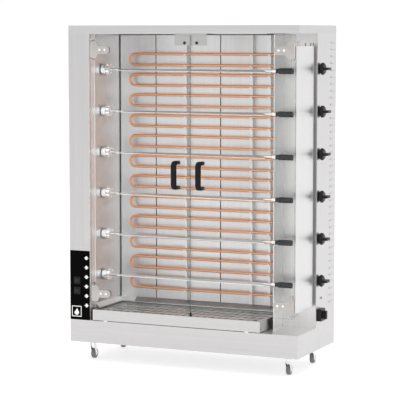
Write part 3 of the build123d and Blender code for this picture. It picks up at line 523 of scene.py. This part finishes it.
# ------------------------------------------------------------------ screws
# Zinc-plated pan-head screws with a round socket, one wherever the cabinet's sheets
# are screwed together. One head is placed on every point by a node tree.
heads = bmesh.new()
heads.from_mesh(frame["nodes"]["cabinet_screws"].data)
bmesh.ops.remove_doubles(heads, verts=heads.verts, dist=0.00001)
places, ways, sizes = [], [], []
waiting = set(heads.verts)
while waiting:
    island, edge_of = set(), [waiting.pop()]
    while edge_of:
        corner = edge_of.pop()
        island.add(corner)
        for edge in corner.link_edges:
            other = edge.other_vert(corner)
            if other in waiting:
                waiting.discard(other)
                edge_of.append(other)
    low = Vector(tuple(min(v.co[k] for v in island) for k in range(3)))
    high = Vector(tuple(max(v.co[k] for v in island) for k in range(3)))
    thin = min(range(3), key=lambda k: high[k] - low[k])
    centre = (low + high) / 2
    way = Vector((0, 0, 0))
    way[thin] = 1.0 if centre[thin] > 0 else -1.0
    foot = centre.copy()
    foot[thin] = low[thin] if way[thin] > 0 else high[thin]
    places.append(foot)
    ways.append(way)
    sizes.append(((high - low)[(thin + 1) % 3] / 2, (high - low)[thin]))
heads.free()
head_radius, head_height = sizes[0]
spots = bpy.data.meshes.new("screw_spots")
spots.from_pydata(places, [], [])
facing_way = spots.attributes.new("way", "FLOAT_VECTOR", "POINT")
for number, way in enumerate(ways):
    facing_way.data[number].vector = way
screws = bpy.data.objects.new("screw_heads", spots)
scene.collection.objects.link(screws)
pattern = bpy.data.objects.new("screw_pattern", turned("screw_pattern", [
    (0.0, 1.0), (0.35, 1.0), (0.75, 0.82), (1.0, 0.5), (1.0, 0.3), (0.5, 0.24)],
    (0, 0, 0), (0, 0, 1), 28))
scene.collection.objects.link(pattern)
tree = bpy.data.node_groups.new("screws_on_points", "GeometryNodeTree")
tree.interface.new_socket("Geometry", in_out="INPUT", socket_type="NodeSocketGeometry")
tree.interface.new_socket("Head", in_out="INPUT", socket_type="NodeSocketObject")
tree.interface.new_socket("Radius", in_out="INPUT", socket_type="NodeSocketFloat")
tree.interface.new_socket("Height", in_out="INPUT", socket_type="NodeSocketFloat")
tree.interface.new_socket("Finish", in_out="INPUT", socket_type="NodeSocketMaterial")
tree.interface.new_socket("Seed", in_out="INPUT", socket_type="NodeSocketInt")
tree.interface.new_socket("Geometry", in_out="OUTPUT", socket_type="NodeSocketGeometry")
net = Net(tree)
given = tree.nodes.new("NodeGroupInput")
given_at = {socket.name: Wire(net, socket) for socket in given.outputs if socket.name}
way = net.node("GeometryNodeInputNamedAttribute", {"data_type": "FLOAT_VECTOR"}, {"Name": "way"})
turn = net.node("FunctionNodeAlignEulerToVector", {"axis": "Z"}, {"Vector": way})
spin = net.node("FunctionNodeRandomValue", {"data_type": "FLOAT"},
                {2: 0.0, 3: 6.283, "Seed": given_at["Seed"]}, out=1)
spun = net.node("FunctionNodeRotateEuler", {"rotation_type": "AXIS_ANGLE", "space": "LOCAL"},
                {"Rotation": turn, "Axis": (0, 0, 1), "Angle": spin})
size = net.node("ShaderNodeCombineXYZ", None, {
    0: given_at["Radius"], 1: given_at["Radius"], 2: given_at["Height"]})
head_shape = net.node("GeometryNodeObjectInfo", None, {"Object": given_at["Head"]}, out="Geometry")
set_out = net.node("GeometryNodeInstanceOnPoints", None, {
    "Points": given_at["Geometry"], "Instance": head_shape, "Rotation": spun, "Scale": size})
real = net.node("GeometryNodeRealizeInstances", None, {0: set_out})
done = net.node("GeometryNodeSetMaterial", None, {"Geometry": real, "Material": given_at["Finish"]})
result = tree.nodes.new("NodeGroupOutput")
tree.links.new(done.socket, result.inputs[0])
placed = screws.modifiers.new("screws", "NODES")
placed.node_group = tree
identifier = {item.name: item.identifier for item in tree.interface.items_tree if item.in_out == "INPUT"}
placed[identifier["Head"]] = pattern
placed[identifier["Radius"]] = head_radius
placed[identifier["Height"]] = head_height
placed[identifier["Finish"]] = zinc.material
placed[identifier["Seed"]] = 7
ready = screws.evaluated_get(bpy.context.evaluated_depsgraph_get())
screw_mesh = bpy.data.meshes.new_from_object(ready)
bpy.data.objects.remove(screws)
bpy.data.objects.remove(pattern)
screw_mesh.set_sharp_from_angle(angle=sharp_turn)
screw_piece = add_piece("cabinet_screw_heads", screw_mesh, zinc, "cabinet")
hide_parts("cabinet_screws")


# ------------------------------------------------------------------ header and rear
# Folded header over the doors, screwed rear panel with vent slots, and the cord gland.
dress(ground_steel("header_steel", "X", tuple(c * 0.96 for c in casing_tone)), "header")
dress(ground_steel("rear_steel", "Z", casing_tone, rough=0.4), "rear_panel")
dress(moulded("gland_nylon", (0.03, 0.03, 0.031), rough=0.5), "cord_gland")


# ------------------------------------------------------------------ service side
# Removable cover with pressed louvres, the vertical guard in front of it, six
# thermostat knobs, the main switch and a lamp.
dress(ground_steel("cover_steel", "Z", casing_tone), "side_cover")
guard_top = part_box("side_guard")[1].z - 0.0138
guard_steel = ground_steel("guard_steel", "Z", (0.64, 0.635, 0.635), rough=0.3)
dress(shaded_behind(guard_steel, 2, guard_top, (0.05, 0.05, 0.05)), "side_guard")
bakelite = moulded("bakelite", (0.010, 0.0095, 0.010), rough=0.34, specular=0.22)
dress(bakelite, "control_bodies")
for number in range(1, 7):
    eased(f"thermostat_knob_{number}", bakelite, 0.0009, f"knob_{number}")
eased("main_switch_knob", bakelite, 0.001, "main_switch_lever")
lens = Finish("lamp_lens", roughness=0.1, coat_weight=0.6)
facets = lens.noise((900.0, 900.0, 900.0))
lens.lay(base_color=lens.mix(facets, (0.16, 0.155, 0.15), (0.26, 0.25, 0.24)),
         normal=lens.bump(facets, 0.0001, 0.5))
dress(lens, "pilot_lamp")


# ------------------------------------------------------------------ spits
# V-section spits of chrome-plated steel with a bearing collar and a black handle.
spit_finish = Finish("spit_chrome_and_handle", specular_ior_level=0.2)
handle_length = 0.0831
handle = spit_finish.axis(0) > (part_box("spit_1")[1].x - handle_length)
film = spit_finish.noise((40.0, 200.0, 200.0), detail=4.0, rough=0.6)
grit = spit_finish.noise((900.0, 900.0, 900.0), detail=2.0)
spit_finish.lay(
    base_color=spit_finish.mix(handle, spit_finish.mix(film, (0.66, 0.65, 0.64), (0.80, 0.79, 0.78)),
                               (0.010, 0.010, 0.011)),
    metallic=1.0 - handle,
    roughness=film * 0.08 + handle * 0.2 + 0.12,
    normal=spit_finish.bump(grit * handle, 0.00006, 0.4))
dress(spit_finish, *[f"spit_{number}" for number in range(1, 7)])


# ------------------------------------------------------------------ tray
# Folded drip tray that slides on the runners, with a slotted grille laid in it. A
# rubber stop stands on its lip under the meeting edge of the doors.
tray_steel = ground_steel("tray_steel", "X", (0.56, 0.552, 0.55), rough=0.3)
low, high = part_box("drip_tray")
# Painted shade: the tray's inner faces below its rim are painted near-black, where the grille shades
# them.
inside = ((tray_steel.axis(0) > low.x + 0.0012) * (tray_steel.axis(0) < high.x - 0.0012)
          * (tray_steel.axis(1) > low.y + 0.0012) * (tray_steel.axis(2) < high.z - 0.004))
outside = tray_steel.colour()
tray_steel.lay(base_color=tray_steel.mix(inside, outside, (0.07, 0.068, 0.065)))
dress(tray_steel, "drip_tray")
dress(ground_steel("grille_steel", "X", (0.86, 0.855, 0.85), rough=0.34), "tray_grille")
tray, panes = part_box("drip_tray"), (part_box("left_door_glass"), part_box("right_door_glass"))
room = panes[0][0].z - tray[1].z - 0.0015
stop_place = Vector(((panes[0][1].x + panes[1][0].x) / 2, tray[0].y + 0.0062, tray[1].z))
stop_rubber = moulded("stop_rubber", (0.012, 0.012, 0.012), rough=0.6, specular=0.2)
stop = turned("door_stop", [(0.0, 0.0058), (room * 0.15, 0.006), (room * 0.8, 0.0052),
                            (room * 0.96, 0.004), (room, 0.0022)], stop_place, (0, 0, 1), 28)
add_piece("door_stop", stop, stop_rubber, "tray")


# ------------------------------------------------------------------ doors
# Two toughened glass doors on patch hinges, with bent black grips near the meeting edge.
glass = Finish("door_glass", roughness=0.02)
glass.tree.nodes.remove(glass.shader)
clear = glass.node("ShaderNodeBsdfTransparent", None, {"Color": (0.985, 0.99, 0.987, 1)})
gloss = glass.node("ShaderNodeBsdfGlossy", None, {"Roughness": 0.02, "Color": (0.4, 0.4, 0.4, 1)})
# The panes reflect more at a slant, the same from either side.
slant = glass.node("ShaderNodeLayerWeight", None, {"Blend": 0.5}, out=1)
facing = slant * slant * slant * slant * slant * 0.96 + 0.035
pane = glass.node("ShaderNodeMixShader", None, {0: facing, 1: clear, 2: gloss})
cut_edge = glass.node("ShaderNodeBsdfDiffuse", None, {"Color": (0.20, 0.30, 0.27, 1)})
outward = glass.node("ShaderNodeTexCoord", out=1)
edge_on = abs(glass.node("ShaderNodeSeparateXYZ", None, {0: outward}, out=1)) < 0.5
edge_haze = glass.noise((60.0, 60.0, 60.0), detail=2.0)
whole = glass.node("ShaderNodeMixShader", None, {
    0: edge_on * (edge_haze * 0.3 + 0.4), 1: pane, 2: cut_edge})
glass.tree.links.new(whole.socket, glass.tree.nodes["Material Output"].inputs["Surface"])
dress(glass, "left_door_glass", "right_door_glass")
patch_chrome = plated("patch_satin_chrome", (0.50, 0.475, 0.455), rough=0.28)
patch_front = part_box("left_door_patches")[0].y
between = ((patch_chrome.axis(0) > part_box("left_door_patches")[0].x + 0.03)
           * (patch_chrome.axis(0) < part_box("right_door_patches")[1].x - 0.03))
head = (patch_chrome.axis(1) < patch_front + 0.0022) * between
plain = patch_chrome.colour()
patch_chrome.lay(base_color=patch_chrome.mix(head, plain, (0.95, 0.94, 0.93)))
for side in ("left", "right"):
    eased(f"{side}_door_patches", patch_chrome, 0.0006, f"{side}_hinge_patches")
dress(ground_steel("bracket_steel", "Z", (0.46, 0.45, 0.445), rough=0.5), "hinge_brackets")
grip_nylon = moulded("grip_nylon", (0.006, 0.006, 0.0075), rough=0.38, specular=0.16)
for side in ("left", "right"):
    eased(f"{side}_door_grip", grip_nylon, 0.0008, f"{side}_grip")
catch_steel = ground_steel("catch_steel", "X", (0.50, 0.49, 0.49))
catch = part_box("door_catch")
beside = abs(catch_steel.axis(0) - (catch[0].x + catch[1].x) / 2) - 0.032
below = catch_steel.axis(2) - (catch[1].z - 0.045)
magnet = (beside * beside + below * below) < 0.0078 ** 2
sheet_tone = catch_steel.colour()
catch_steel.lay(base_color=catch_steel.mix(magnet, sheet_tone, (0.02, 0.02, 0.02)))
dress(catch_steel, "door_catch")
